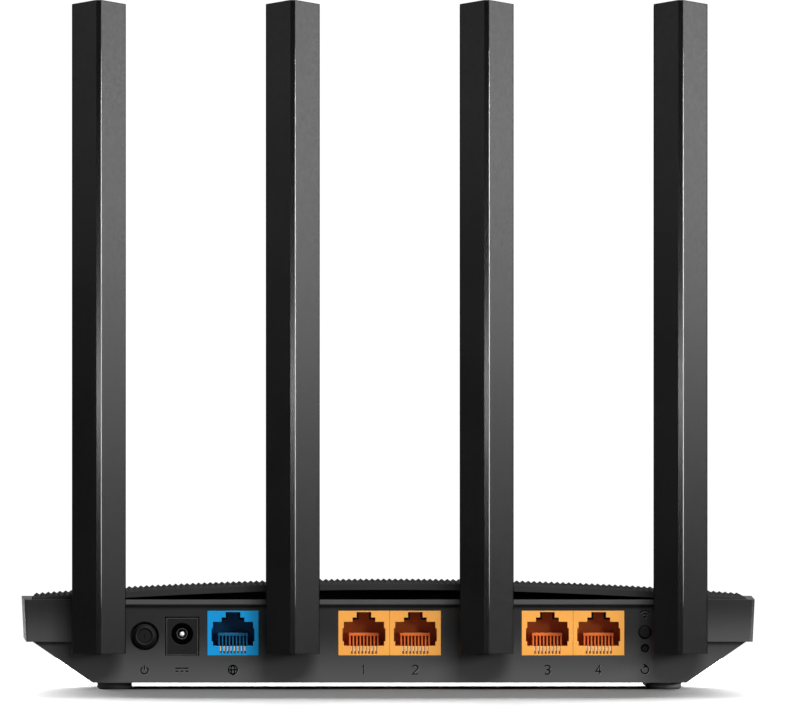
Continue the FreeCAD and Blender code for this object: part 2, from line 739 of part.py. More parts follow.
def make_knuckle(index, x):
    """The swivel: a flange and stub turned about Y, and a flat tongue that carries the tilt pin."""
    body = new_body(f"Knuckle{index}")
    flange = d.flange_radius
    stub = d.stub_radius
    out = -d.flange_thick
    groove = stub - 0.6
    turn(body, "YZ", "H_Axis", [(out, 1.2), (out, flange - 0.4), (out + 0.4, flange), (-0.1, flange),
                                (-0.1, stub), (2.3, stub), (2.3, groove), (3.3, groove), (3.3, stub),
                                (4.5, stub), (4.5, 1.2)])
    radius = d.tongue_radius
    pad(body, "YZ", -d.tongue_half, d.tongue_half * 2,
        [rectangle(-d.hinge_out, -radius, out + 0.5, radius)])
    pad(body, "YZ", -d.tongue_half, d.tongue_half * 2, [(-d.hinge_out, 0, radius)])
    pocket(body, "YZ", -d.tongue_half - 1, d.tongue_half * 2 + 2,
           [(-d.hinge_out, 0, d.pin_radius + d.running)])
    place(body, x, d.panel_rear, d.hinge_z)
    return node(body, f"knuckle_{index}")


def make_clip(index, x):
    """The open ring that keeps the knuckle's stub in the panel."""
    y = d.panel_rear + 2.4
    ring = cylinder(x, y, d.hinge_z, 5.3, 0.8, "Y")
    bore = cylinder(x, y - 1, d.hinge_z, d.stub_radius - 0.6, 3, "Y")
    gap = box(x - 1.6, y - 1, d.hinge_z - 7, 3.2, 3, 6)
    return node(cut(ring, [bore, gap]), f"swivel_clip_{index}")


def make_blade(index, x):
    """The long blade: two facets meeting in a ridge, hollow, with a fork for the knuckle's tongue."""
    body = new_body(f"Blade{index}")
    half = d.blade_half
    outline = [(-half, -d.blade_front), (-half, -d.blade_side), (d.ridge_left, -d.blade_ridge),
               (d.ridge_right, -d.blade_ridge), (half, -d.blade_side), (half, -d.blade_front)]
    pad(body, "XY", d.blade_bottom, 195, [outline])
    slope = (d.blade_ridge_top - d.blade_edge_top) / (d.blade_ridge - d.blade_side)
    behind = d.blade_ridge_top + slope
    ahead = d.blade_ridge_top - slope * (d.blade_ridge - 4)
    pocket(body, "YZ", -half - 1, half * 2 + 2,
           [[(-d.blade_ridge - 1, behind), (-4, ahead), (-4, 215), (-d.blade_ridge - 1, 215)]])

    def is_heel(edge):
        middle = edge.CenterOfMass
        return edge.BoundBox.XLength > 10 and middle.z < 12 and abs(middle.y + d.blade_front.value) < 0.01

    def is_side(edge):
        middle = edge.CenterOfMass
        outer = abs(abs(middle.x) - half.value) < 0.01 and abs(middle.y + d.blade_side.value) < 0.01
        return outer and edge.BoundBox.ZLength > 100

    round_edges(body, 2.5, is_heel)
    round_edges(body, 0.7, is_side)
    reach = d.hinge_out + d.slot_reach
    pocket(body, "XY", d.blade_bottom - 1, d.hinge_z + d.slot_reach - d.blade_bottom + 1,
           [rectangle(-d.slot_half, -reach, d.slot_half, 0)])
    pocket(body, "XY", d.blade_bottom + 12.5, 175,
           [[(-6.5, -4), (-6.5, -9.4), (-0.5, -12.9), (0.5, -12.9), (6.5, -9.4), (6.5, -4)]])
    pocket(body, "XY", d.blade_bottom + 12.0, 176, [rectangle(-6.9, -d.blade_front - 1.4, 6.9, -4)])
    pocket(body, "YZ", -half - 1, half * 2 + 2, [(-d.hinge_out, d.hinge_z, d.pin_radius + 0.02)])
    place(body, x, d.panel_rear, 0)
    return node(body, f"blade_{index}")


def make_blade_fillings(index, x):
    """What the blade holds: its hinge pin, flat inner cover and radiating strip."""
    y = d.panel_rear - d.hinge_out
    pin = cylinder(x - 7.6, y, d.hinge_z, d.pin_radius, 15.2, "X")
    node(pin, f"hinge_pin_{index}")
    inner = box(x - 6.8, d.panel_rear - d.blade_front - 1.35, d.blade_bottom + 12.1, 13.6, 1.35, 175.8)
    node(inner, f"blade_cover_{index}")
    strip = box(x - 5, d.panel_rear - 8.2, d.blade_bottom + 20, 10, 0.8, 150)
    node(strip, f"radiator_{index}")


def make_coax():
    """Four thin leads from the swivels: each a straight run, an S of two equal arcs, and a second run."""
    solids = []
    radius = 0.65
    bend = 9.0
    drop = SIZES["hinge_z"] - SIZES["board_top"] - 4.1 - radius
    full = math.acos(1 - drop / (2 * bend))
    reach = bend * math.sin(full)
    near = bend * math.sin(full / 2)
    sag = bend * (1 - math.cos(full / 2))
    for middle in ANTENNA_X:
        start = V(middle.value, SIZES["panel_rear"] + 4.9, SIZES["hinge_z"])
        bend_start = start + V(0, 8, 0)
        bend_middle = bend_start + V(0, reach, -drop / 2)
        bend_end = bend_start + V(0, 2 * reach, -drop)
        first = Part.Arc(bend_start, bend_start + V(0, near, -sag), bend_middle)
        second = Part.Arc(bend_middle, bend_end + V(0, -near, sag), bend_end)
        runs = [Part.LineSegment(start, bend_start), first, second,
                Part.LineSegment(bend_end, bend_end + V(0, 14, 0))]
        path = Part.Wire([run.toShape() for run in runs])
        ring = Part.Wire(Part.Circle(start, V(0, 1, 0), radius).toShape())
        solids.append(path.makePipeShell([ring], True, True))
    feature = doc.addObject("Part::Feature", "Coax")
    feature.Shape = Part.makeCompound(solids)
    return node(feature, "coax_leads")


# ---------------------------------------------------------------- assembly

make_lower_case()
make_upper_frame()
make_top_cover()
make_feet()
make_case_screws()
make_board()
make_board_screws()
for socket, middle in SOCKETS.items():
    make_socket(socket, middle)
    make_contacts(socket.replace("socket", "contacts"), middle)
make_power_socket()
make_buttons()
make_switches()
make_heat_sink()
make_shield("shield_can_left", -42, 14, 26, 20)
make_shield("shield_can_right", 28, 14, 26, 20)
make_small_components()
make_coax()
for number, antenna_x in enumerate(ANTENNA_X, start=1):
    make_knuckle(number, antenna_x)
    make_clip(number, antenna_x)
    make_blade(number, antenna_x)
    make_blade_fillings(number, antenna_x)
doc.recompute()

for item in doc.Objects:
    if "Invalid" in item.State or "Error" in item.State:
        raise RuntimeError(f"{item.Name} failed: {item.State}")
os.makedirs("parts", exist_ok=True)
for item in NODES:
    shape = item.Shape
    if shape.isNull() or not shape.isValid():
        raise RuntimeError(f"{item.Label} has no valid shape")
    shape.exportStep(f"parts/{item.Label}.step")
    box_of = shape.BoundBox
    print(f"{item.Label:20s} solids {len(shape.Solids):2d} volume {shape.Volume:10.1f}"
          f" x {box_of.XMin:7.1f} {box_of.XMax:7.1f} y {box_of.YMin:6.1f} {box_of.YMax:6.1f}"
          f" z {box_of.ZMin:6.1f} {box_of.ZMax:6.1f}")
print(len(NODES), "nodes")
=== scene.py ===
"""A wireless router with four tall antennas: finishes, moulded detail, markings and a plain studio.

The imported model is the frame: its pieces keep their shape and place and get finishes here, and
finer pieces are added as surfaces worked out with numpy. Lengths are in metres.
"""
import logging
import math
from dataclasses import dataclass, field
from enum import Enum

import bpy
import numpy as np
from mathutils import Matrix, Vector


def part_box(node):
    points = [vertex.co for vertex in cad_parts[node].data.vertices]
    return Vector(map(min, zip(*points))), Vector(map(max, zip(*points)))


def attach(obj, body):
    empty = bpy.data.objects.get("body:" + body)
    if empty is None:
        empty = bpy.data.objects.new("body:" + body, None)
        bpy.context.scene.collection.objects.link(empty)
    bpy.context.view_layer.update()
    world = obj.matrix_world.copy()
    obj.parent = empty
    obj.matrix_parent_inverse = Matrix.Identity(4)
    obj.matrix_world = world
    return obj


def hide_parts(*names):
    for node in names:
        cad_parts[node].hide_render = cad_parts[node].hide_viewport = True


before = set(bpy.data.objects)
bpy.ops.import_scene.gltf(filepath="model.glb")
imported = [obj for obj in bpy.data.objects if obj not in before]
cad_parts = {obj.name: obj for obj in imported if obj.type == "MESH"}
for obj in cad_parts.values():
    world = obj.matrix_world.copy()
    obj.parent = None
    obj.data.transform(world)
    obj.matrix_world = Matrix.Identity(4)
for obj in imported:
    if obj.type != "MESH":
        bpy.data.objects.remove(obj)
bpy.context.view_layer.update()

LOG = logging.getLogger("router")
MM = 0.001
DUST_TONE = (0.30, 0.29, 0.27)
DUST_DULLS = 0.4
WHITE = (1.0, 1.0, 1.0, 1.0)
BAR_DEPTH = 0.1 * MM


# ------------------------------------------------------------------ shader graphs

class Graph:
    """Adds linked nodes to one shader tree."""

    def __init__(self, tree: bpy.types.NodeTree) -> None:
        """Keep the tree that nodes are added to."""
        self.tree = tree

    def fill(self, node: bpy.types.Node, inputs: dict) -> None:
        """Give a node's inputs, by name or index, plain values or other nodes' outputs."""
        for key, value in inputs.items():
            if isinstance(value, bpy.types.NodeSocket):
                self.tree.links.new(value, node.inputs[key])
            else:
                node.inputs[key].default_value = value

    def add(self, kind: str, inputs: dict | None = None, **settings: object) -> bpy.types.Node:
        """Add one node.

        Args:
            kind: the node's class name without its ShaderNode prefix.
            inputs: values or output sockets by input name or index.
            settings: properties of the node.
        Returns:
            The new node.
        """
        node = self.tree.nodes.new("ShaderNode" + kind)
        for name, value in settings.items():
            setattr(node, name, value)
        self.fill(node, inputs or {})
        return node

    def math(self, operation: str, *terms: object, clamp: bool = False) -> bpy.types.NodeSocket:
        """Combine numbers or sockets with one Math node and return its output."""
        node = self.add("Math", dict(enumerate(terms)), operation=operation, use_clamp=clamp)
        return node.outputs[0]

    def blend(self, factor: object, first: object, second: object) -> bpy.types.NodeSocket:
        """Mix two colours by a factor and return the colour."""
        node = self.add("Mix", data_type="RGBA")
        self.fill(node, {0: factor, 6: first, 7: second})
        return node.outputs[2]

    def spread(self, value: object, low: float, high: float,
               to_low: float = 0.0, to_high: float = 1.0) -> bpy.types.NodeSocket:
        """Map a value from one range to another, smoothly, and return it."""
        node = self.add("MapRange", {0: value, 1: low, 2: high, 3: to_low, 4: to_high},
                        interpolation_type="SMOOTHSTEP")
        return node.outputs[0]


def new_group(name: str, inputs: dict, outputs: dict) -> tuple[Graph, dict, bpy.types.Node]:
    """Start a shader node group.

    Args:
        name: the group's name.
        inputs: socket type by input name, or (type, default).
        outputs: socket type by output name.
    Returns:
        The group's graph, its input sockets by name, and its output node.
    """
    tree = bpy.data.node_groups.new(name, "ShaderNodeTree")
    for label, (kind, default) in inputs.items():
        socket = tree.interface.new_socket(label, in_out="INPUT", socket_type="NodeSocket" + kind)
        if default is not None:
            socket.default_value = default
    for label, kind in outputs.items():
        tree.interface.new_socket(label, in_out="OUTPUT", socket_type="NodeSocket" + kind)
    entry = tree.nodes.new("NodeGroupInput")
    leave = tree.nodes.new("NodeGroupOutput")
    return Graph(tree), entry.outputs, leave


def grain_group() -> bpy.types.NodeTree:
    """Spark-eroded grain: a height, a roughness change and a tone mask."""
    graph, given, out = new_group(
        "moulded_grain", {"Vector": ("Vector", None), "Cells per metre": ("Float", 2600.0)},
        {"Height": "Float", "Roughness shift": "Float", "Tone": "Float"})
    cells = graph.add("TexVoronoi", {"Vector": given["Vector"], "Scale": given["Cells per metre"]},
                      feature="SMOOTH_F1")
    soft = graph.add("TexNoise", {"Vector": given["Vector"], "Scale": 900.0, "Detail": 3.0})
    broad = graph.add("TexNoise", {"Vector": given["Vector"], "Scale": 38.0, "Detail": 2.0})
    height = graph.math("ADD", graph.math("MULTIPLY", cells.outputs["Distance"], 0.65),
                        graph.math("MULTIPLY", soft.outputs[0], 0.35))
    graph.fill(out, {"Height": height, "Tone": graph.spread(broad.outputs[0], 0.35, 0.65),
                     "Roughness shift": graph.math("MULTIPLY_ADD", soft.outputs[0], 0.10, -0.05)})
    return graph.tree


def edge_group() -> bpy.types.NodeTree:
    """Rounded edges: a normal softened over a small radius, and a mask that is 1 on outer edges."""
    graph, given, out = new_group(
        "softened_edges", {"Radius": ("Float", 0.0003), "Normal": ("Vector", None)},
        {"Normal": "Vector", "Edge": "Float"})
    bevel = graph.add("Bevel", {"Radius": given["Radius"], "Normal": given["Normal"]}, samples=6)
    plain = graph.add("NewGeometry")
    dot = graph.add("VectorMath", {0: bevel.outputs[0], 1: plain.outputs["Normal"]},
                    operation="DOT_PRODUCT")
    outer = graph.spread(dot.outputs["Value"], 0.995, 0.80)
    graph.fill(out, {"Normal": bevel.outputs[0], "Edge": outer})
    return graph.tree


def dust_group() -> bpy.types.NodeTree:
    """A thin film of dust: a mask that is strongest on faces that look up, broken by noise."""
    graph, given, out = new_group(
        "settled_dust", {"Vector": ("Vector", None), "Amount": ("Float", 0.15)},
        {"Mask": "Float"})
    plain = graph.add("NewGeometry")
    split = graph.add("SeparateXYZ", {0: plain.outputs["Normal"]})
    upward = graph.spread(split.outputs[2], 0.2, 1.0)
    noise = graph.add("TexNoise", {"Vector": given["Vector"], "Scale": 210.0, "Detail": 4.0})
    broken = graph.spread(noise.outputs[0], 0.35, 0.75, 0.2, 1.0)
    film = graph.math("MULTIPLY", upward, broken)
    mask = graph.math("MULTIPLY", film, given["Amount"], clamp=True)
    graph.fill(out, {"Mask": mask})
    return graph.tree


def painted_fade_group() -> bpy.types.NodeTree:
    """Painted light along one direction: a mask that rises from 0 to 1 between two distances."""
    graph, given, out = new_group(
        "painted_light_along", {"Vector": ("Vector", None), "Direction": ("Vector", None),
                       "Start": ("Float", 0.0), "End": ("Float", 1.0)},
        {"Mask": "Float"})
    along = graph.add("VectorMath", {0: given["Vector"], 1: given["Direction"]},
                      operation="DOT_PRODUCT")
    mask = graph.add("MapRange", {0: along.outputs["Value"], 1: given["Start"], 2: given["End"]},
                     interpolation_type="SMOOTHSTEP")
    graph.fill(out, {"Mask": mask.outputs[0]})
    return graph.tree


class Effects:
    """The four shared effect groups, built once."""

    def __init__(self) -> None:
        """Build the groups."""
        self.grain = grain_group()
        self.edges = edge_group()
        self.dust = dust_group()
        self.fade = painted_fade_group()


Colour = tuple[float, float, float]


def new_material(name: str) -> tuple:
    """Start a material; return it, its graph, its shader node and the object's own coordinates."""
    material = bpy.data.materials.new(name)
    material.use_nodes = True
    graph = Graph(material.node_tree)
    place = graph.add("TexCoord").outputs["Object"]
    return material, graph, material.node_tree.nodes["Principled BSDF"], place


def rgba(colour: Colour) -> tuple[float, float, float, float]:
    """Return a colour with full opacity."""
    return (*colour, 1.0)


@dataclass(frozen=True)
class PaintedLightFade:
    """A second tone of painted light that takes over along a direction, between two distances from
    the origin; it paints bounce light low on the case and frame, and shade deep in the sockets.
    """

    tone: Colour
    direction: tuple[float, float, float]
    start: float
    end: float


@dataclass(frozen=True)
class Plastic:
    """A moulded plastic: two close tones, gloss, grain, edges lightened as wear and painted
    highlight, dust and perhaps a painted-light fade.
    """

    name: str
    tone: Colour
    second_tone: Colour
    roughness: float = 0.42
    cells: float = 2600.0
    relief: float = 0.00002
    # Edge tone and amount: outer edges lightened, partly as wear, partly as a painted highlight.
    worn_lit_edge_tone: Colour = (0.05, 0.05, 0.052)
    worn_lit_edge_amount: float = 0.35
    edge_radius: float = 0.00022
    dust: float = 0.06
    specular: float = 0.5
    fade: PaintedLightFade | None = None

    def build(self, effects: Effects) -> bpy.types.Material:
        """Make the material and return it, with grain and rounded edges lightened, partly as wear
        and partly as a painted highlight.
        """
        material, graph, shader, place = new_material(self.name)
        grain = graph.add("Group", {"Vector": place, "Cells per metre": self.cells},
                          node_tree=effects.grain)
        bump = graph.add("Bump", {"Height": grain.outputs["Height"], "Distance": self.relief,
                                  "Strength": 1.0})
        edges = graph.add("Group", {"Radius": self.edge_radius, "Normal": bump.outputs[0]},
                          node_tree=effects.edges)
        dust = graph.add("Group", {"Vector": place, "Amount": self.dust}, node_tree=effects.dust)
        tone = graph.blend(grain.outputs["Tone"], rgba(self.tone), rgba(self.second_tone))
        # Painted light: a second tone along one direction, lighter low on the case and frame as
        # floor bounce, darker deep in the sockets as shade.
        if self.fade:
            fade = graph.add("Group", {"Vector": place, "Direction": self.fade.direction,
                                       "Start": self.fade.start, "End": self.fade.end},
                             node_tree=effects.fade)
            tone = graph.blend(fade.outputs["Mask"], tone, rgba(self.fade.tone))
        # Outer edges lightened: partly wear, partly a painted highlight.
        wear_and_highlight = graph.math("MULTIPLY", edges.outputs["Edge"], self.worn_lit_edge_amount)
        tone = graph.blend(wear_and_highlight, tone, rgba(self.worn_lit_edge_tone))
        tone = graph.blend(dust.outputs["Mask"], tone, rgba(DUST_TONE))
        clean = graph.math("ADD", grain.outputs["Roughness shift"], self.roughness)
        dulled = graph.math("MULTIPLY", dust.outputs["Mask"], DUST_DULLS)
        rough = graph.math("ADD", clean, dulled, clamp=True)
        graph.fill(shader, {"Base Color": tone, "Roughness": rough,
                            "Normal": edges.outputs["Normal"], "Specular IOR Level": self.specular})
        return material


@dataclass(frozen=True)
class Metal:
    """A plated or extruded metal with fine directional scratches and faint tarnish."""

    name: str
    tone: Colour
    tarnish: Colour
    roughness: float = 0.3
    lines: tuple[float, float, float] = (300.0, 9000.0, 9000.0)

    def build(self, effects: Effects) -> bpy.types.Material:
        """Make the material and return it; the scratches are noise stretched along one axis."""
        material, graph, shader, place = new_material(self.name)
        stretched = graph.add("Mapping", {"Vector": place, "Scale": self.lines})
        scratches = graph.add("TexNoise", {"Vector": stretched.outputs[0], "Scale": 1.0,
                                           "Detail": 3.0})
        stains = graph.add("TexNoise", {"Vector": place, "Scale": 260.0, "Detail": 3.0})
        mask = graph.spread(stains.outputs[0], 0.45, 0.7)
        tone = graph.blend(mask, rgba(self.tone), rgba(self.tarnish))
        rough = graph.math("MULTIPLY_ADD", scratches.outputs[0], 0.2, self.roughness - 0.1,
                           clamp=True)
        bump = graph.add("Bump", {"Height": scratches.outputs[0], "Distance": 0.00001})
        graph.fill(shader, {"Base Color": tone, "Roughness": rough, "Normal": bump.outputs[0],
                            "Metallic": 1.0})
        return material


@dataclass(frozen=True)
class BoardLaminate:
    """Green solder mask over copper traces on a glass laminate."""

    name: str
    mask_tone: Colour
    trace_tone: Colour
    trace_pitch: float = 0.0016

    def build(self, effects: Effects) -> bpy.types.Material:
        """Make the material and return it; the traces are the walls of a cell pattern."""
        material, graph, shader, place = new_material(self.name)
        cells = graph.add("TexVoronoi", {"Vector": place, "Scale": 1.0 / (6 * self.trace_pitch)},
                          distance="MANHATTAN", feature="F1")
        rings = graph.math("FRACT", graph.math("MULTIPLY", cells.outputs["Distance"], 7.0))
        offset = graph.math("ABSOLUTE", graph.math("SUBTRACT", rings, 0.5))
        trace = graph.spread(offset, 0.12, 0.2, 1.0, 0.0)
        tone = graph.blend(trace, rgba(self.mask_tone), rgba(self.trace_tone))
        grain = graph.add("Group", {"Vector": place}, node_tree=effects.grain)
        bump = graph.add("Bump", {"Height": trace, "Distance": 0.00003})
        graph.fill(shader, {"Base Color": tone, "Normal": bump.outputs[0],
                            "Roughness": graph.math("ADD", grain.outputs["Roughness shift"], 0.32)})
        return material


@dataclass(frozen=True)
class ClearMoulding:
    """A clear light guide with faint flow marks."""

    name: str
    tint: Colour = (0.92, 0.95, 0.96)

    def build(self, effects: Effects) -> bpy.types.Material:
        """Make the material and return it."""
        material, graph, shader, place = new_material(self.name)
        flow = graph.add("TexNoise", {"Vector": place, "Scale": 160.0, "Detail": 3.0,
                                      "Distortion": 1.5})
        shade = graph.blend(flow.outputs[0], rgba(self.tint), rgba((0.72, 0.76, 0.78)))
        rough = graph.math("MULTIPLY_ADD", flow.outputs[0], 0.12, 0.08)
        graph.fill(shader, {"Base Color": shade, "Roughness": rough, "Transmission Weight": 0.6,
                            "IOR": 1.49})
        return material


@dataclass(frozen=True)
class LampFace:
    """A small lamp's yellowish face, glowing faintly at its middle."""

    name: str
    glow: Colour = (0.25, 0.95, 0.45)

    def build(self, effects: Effects) -> bpy.types.Material:
        """Make the material and return it."""
        material, graph, shader, place = new_material(self.name)
        speckle = graph.add("TexNoise", {"Vector": place, "Scale": 1800.0, "Detail": 2.0})
        shade = graph.blend(speckle.outputs[0], rgba((0.85, 0.80, 0.45)), rgba(self.glow))
        rough = graph.math("MULTIPLY_ADD", speckle.outputs[0], 0.2, 0.2)
        graph.fill(shader, {"Base Color": shade, "Emission Color": shade, "Roughness": rough,
                            "Emission Strength": 0.4})
        return material


class Finish(Enum):
    """Every finish on the router, by the surface it is for."""

    # Case: painted light, lighter towards the bottom as bounce from the floor.
    CASE = Plastic("case_matt_black", (0.010, 0.010, 0.0105), (0.013, 0.013, 0.0135),
                   roughness=0.46, specular=0.3,
                   fade=PaintedLightFade((0.062, 0.062, 0.063), (0.0, 0.0, -1.0), -0.019, -0.001))
    # Frame: painted light, lighter towards the bottom as bounce from the floor; its lighter edges
    # are partly a painted highlight.
    FRAME = Plastic("frame_satin_black", (0.011, 0.011, 0.0115), (0.013, 0.013, 0.0135),
                    roughness=0.42, specular=0.25, worn_lit_edge_tone=(0.08, 0.08, 0.082), worn_lit_edge_amount=0.4,
                    fade=PaintedLightFade((0.054, 0.054, 0.055), (0.0, 0.0, -1.0), -0.026, -0.012))
    COVER = Plastic("cover_pyramid_black", (0.0268, 0.0268, 0.0275), (0.0292, 0.0292, 0.030),
                    roughness=0.65, dust=0.02, worn_lit_edge_amount=0.0, specular=0.03)
    ANTENNA = Plastic("antenna_fine_black", (0.0014, 0.0014, 0.0015), (0.0022, 0.0022, 0.0023),
                      roughness=0.23, cells=3400.0, relief=0.000001, dust=0.01, specular=0.12)
    # A light-grey tone for the ridge bead: a painted highlight along the ridge.
    RIDGE_HIGHLIGHT = Plastic("ridge_painted_highlight", (0.32, 0.32, 0.324), (0.38, 0.38, 0.384), roughness=0.22,
                    relief=0.000003, worn_lit_edge_amount=0.0, dust=0.0, specular=1.0)
    # A lighter tone on the lip's face: painted light, as if the lip caught light from above.
    LIP_LIT = Plastic("lip_painted_light", (0.056, 0.056, 0.057), (0.066, 0.066, 0.067), roughness=0.42,
                  specular=0.25, worn_lit_edge_amount=0.0, dust=0.0)
    KNUCKLE = Plastic("swivel_black", (0.008, 0.008, 0.009), (0.011, 0.011, 0.012), roughness=0.35)
    BUTTON = Plastic("button_black", (0.004, 0.004, 0.004), (0.006, 0.006, 0.006), roughness=0.46,
                     specular=0.2, worn_lit_edge_tone=(0.12, 0.12, 0.122))
    INNER = Plastic("inner_black", (0.005, 0.005, 0.005), (0.007, 0.007, 0.007), roughness=0.5,
                    worn_lit_edge_amount=0.3, specular=0.2)
    RUBBER = Plastic("foot_rubber", (0.095, 0.095, 0.096), (0.115, 0.115, 0.116), roughness=0.66,
                     cells=1500.0, relief=0.00003, dust=0.2, specular=0.35)
    # Socket housings: darker deeper into the bay as painted shade, with edges lightened as a
    # painted highlight.
    UPLINK = Plastic("uplink_blue", (0.003, 0.26, 0.60), (0.004, 0.30, 0.66), roughness=0.34,
                     worn_lit_edge_tone=(0.02, 0.42, 0.85), dust=0.0, cells=1800.0, relief=0.000006,
                     specular=0.3,
                     fade=PaintedLightFade((0.002, 0.15, 0.37), (0.0, 1.0, 0.0), -0.0503, -0.0465))
    LOCAL = Plastic("local_orange", (0.77, 0.33, 0.062), (0.81, 0.37, 0.072), roughness=0.34,
                    worn_lit_edge_tone=(1.0, 0.52, 0.18), dust=0.0, cells=1800.0, relief=0.000006,
                    specular=0.3, fade=PaintedLightFade((0.72, 0.20, 0.022), (0.0, 1.0, 0.0), -0.0503, -0.0465))
    # Combs: darker than the housings as painted shade inside the bay, with edges lightened as a
    # painted highlight.
    UPLINK_COMB = Plastic("uplink_comb_shaded_blue", (0.002, 0.10, 0.22), (0.003, 0.12, 0.26),
                          roughness=0.4, dust=0.0, worn_lit_edge_tone=(0.01, 0.24, 0.50), specular=0.3)
    LOCAL_COMB = Plastic("local_comb_shaded_orange", (0.60, 0.13, 0.020), (0.66, 0.15, 0.024),
                         roughness=0.4, dust=0.0, worn_lit_edge_tone=(0.95, 0.34, 0.09), specular=0.3)
    # Pale tone on the contact tips: a painted glint on gold contacts.
    TIP_GLINT = Plastic("contact_tip_painted_glint", (0.82, 0.56, 0.36), (0.88, 0.64, 0.44), roughness=0.25,
                  dust=0.0, worn_lit_edge_amount=0.0, cells=4000.0, relief=0.000002)
    # Near-white dome on the inlet's pin: a painted glint.
    PIN_GLINT = Plastic("pin_tip_painted_glint", (0.95, 0.95, 0.94), (0.99, 0.99, 0.98), roughness=0.3,
                     dust=0.0, worn_lit_edge_amount=0.0, cells=4000.0, relief=0.000002)
    CHIP = Plastic("chip_package", (0.012, 0.012, 0.013), (0.022, 0.022, 0.023), roughness=0.6,
                   worn_lit_edge_amount=0.1)
    PAD = Plastic("thermal_pad_grey", (0.30, 0.35, 0.45), (0.36, 0.41, 0.50), roughness=0.8,
                  worn_lit_edge_amount=0.1)
    JACKET = Plastic("coax_jacket_black", (0.02, 0.02, 0.02), (0.03, 0.03, 0.03), roughness=0.4,
                     worn_lit_edge_amount=0.0)
    ENGRAVED = Plastic("engraved_shadow", (0.002, 0.002, 0.002), (0.003, 0.003, 0.003),
                       roughness=0.8, worn_lit_edge_amount=0.0, dust=0.0, specular=0.1)
    ENGRAVED_EDGE = Plastic("engraved_lit_edge", (0.11, 0.11, 0.112), (0.13, 0.13, 0.132),
                            roughness=0.5, worn_lit_edge_amount=0.0, dust=0.0)
    # Lighter rim round the inlet: a painted highlight on its edge.
    RIM_HIGHLIGHT = Plastic("inlet_rim_painted_highlight", (0.035, 0.035, 0.036), (0.045, 0.045, 0.046), roughness=0.45,
                  dust=0.0, worn_lit_edge_amount=0.0)
    STEEL = Metal("zinc_steel", (0.62, 0.62, 0.63), (0.50, 0.50, 0.52), 0.32)
    GOLD = Metal("gold_flash", (0.92, 0.72, 0.38), (0.80, 0.58, 0.28), 0.22)
    PIN = Metal("nickel_pin", (0.66, 0.66, 0.65), (0.50, 0.50, 0.50), 0.20)
    SINK = Metal("extruded_aluminium", (0.74, 0.75, 0.77), (0.64, 0.65, 0.67), 0.36)
    BOARD = BoardLaminate("board_laminate", (0.006, 0.09, 0.035), (0.015, 0.17, 0.06))
    GUIDE = ClearMoulding("light_guide_clear")
    LAMP = LampFace("lamp_face")


class Paintshop:
    """Builds each finish once and puts it on nodes and new pieces."""

    def __init__(self) -> None:
        """Start with the shared effects and no materials."""
        self.effects = Effects()
        self.made: dict[Finish, bpy.types.Material] = {}

    def material(self, finish: Finish) -> bpy.types.Material:
        """Return the finish's material, building it on first use."""
        if finish not in self.made:
            self.made[finish] = finish.value.build(self.effects)
        return self.made[finish]

    def dress(self, finish: Finish, *names: str) -> None:
        """Give CAD nodes a finish.

        Args:
            finish: the finish.
            names: the nodes' names.
        """
        for name in names:
            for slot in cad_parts[name].material_slots:
                slot.material = self.material(finish)
            LOG.info("%-20s finished in %s", name, finish.value.name)

    def piece(self, name: str, surface: "Surface", body: str, slot: str, finish: Finish,
              bevel: float = 0.0) -> bpy.types.Object:
        """Put a surface into the scene as a piece that rides on a body.

        Args:
            name: the piece's name.
            surface: its points and faces.
            body: the CAD body that it moves with.
            slot: not used.
            finish: its finish.
            bevel: a width for softened edges, or 0.
        Returns:
            The new object.
        """
        mesh = bpy.data.meshes.new(name)
        mesh.from_pydata(surface.points.tolist(), [], surface.faces)
        mesh.validate()
        mesh.update()
        mesh.materials.append(self.material(finish))
        piece = bpy.data.objects.new(name, mesh)
        bpy.context.scene.collection.objects.link(piece)
        if bevel:
            modifier = piece.modifiers.new("softened", "BEVEL")
            modifier.width = bevel
            modifier.segments = 2
            modifier.limit_method = "ANGLE"
        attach(piece, body)
        LOG.info("%-20s %6d faces, rides on %s", name, len(mesh.polygons), body)
        return piece


# ------------------------------------------------------------------ surfaces

@dataclass
class Surface:
    """Points and faces of one closed or open surface."""

    points: np.ndarray
    faces: list = field(default_factory=list)

    def joined(self, other: "Surface") -> "Surface":
        """Return both surfaces as one."""
        count = len(self.points)
        return Surface(np.vstack([self.points, other.points]),
                       self.faces + [tuple(k + count for k in face) for face in other.faces])


def join_all(parts: list[Surface]) -> Surface:
    """Return several surfaces as one."""
    whole = parts[0]
    for part in parts[1:]:
        whole = whole.joined(part)
    return whole


def quad_faces(rows: int, columns: int, around: bool = False) -> list:
    """Faces of a grid of points.

    Args:
        rows: points along the first parameter.
        columns: points along the second parameter.
        around: whether the second parameter closes on itself.
    Returns:
        Quads as index tuples, counter-clockwise where columns run right and rows run up.
    """
    row = np.arange(rows - 1)[:, None]
    column = np.arange(columns if around else columns - 1)[None, :]
    onward = (column + 1) % columns
    corners = [row * columns + column, row * columns + onward,
               (row + 1) * columns + onward, (row + 1) * columns + column]
    return [tuple(face) for face in np.stack(corners, axis=-1).reshape(-1, 4).tolist()]


def tube_faces(rows: int, sides: int) -> list:
    """Faces of a tube of rings, each of so many sides, with its first and last rings filled in."""
    last = (rows - 1) * sides
    return quad_faces(rows, sides, around=True) + [tuple(range(sides))[::-1],
                                                   tuple(range(last, last + sides))]


